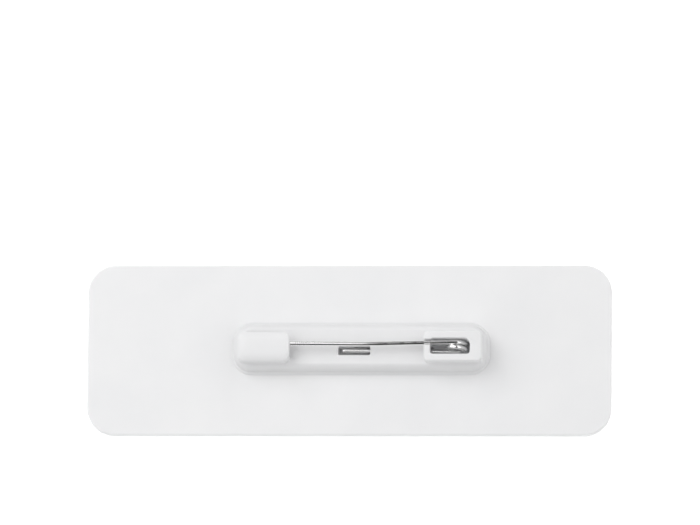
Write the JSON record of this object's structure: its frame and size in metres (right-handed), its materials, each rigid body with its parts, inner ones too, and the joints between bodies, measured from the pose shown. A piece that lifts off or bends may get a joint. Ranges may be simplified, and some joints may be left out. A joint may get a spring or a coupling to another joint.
{
  "type": "name badge with a bar pin back",
  "caption": "Blank rectangular name badge: a moulded plate with rounded corners and a crowned front, with a bar pin on its back.",
  "frame": {"origin": "centre of the flat front face, which lies on the surface", "axes": "+X along the badge towards the coil end of the pin, +Y across it towards the side where the catch opens, +Z out of the back"},
  "size_m": [0.076, 0.025, 0.008],
  "materials": {
    "white_plastic": "smooth white moulded plastic with a soft gloss",
    "pin_steel": "bright nickel-plated drawn steel wire"
  },
  "bodies": {
    "badge": {"badge_plate": "white_plastic", "pin_housing": "white_plastic", "pin_anchor": "pin_steel"},
    "pin_arm": {"pin_arm": "pin_steel"}
  },
  "joints": [
    {"name": "pin_lift", "type": "hinge", "parent": "badge", "child": "pin_arm", "pos_m": [0.01565, 0.00015, 0.00535], "axis": [0, 1, 0], "range_deg": [0, 45]}
  ]
}
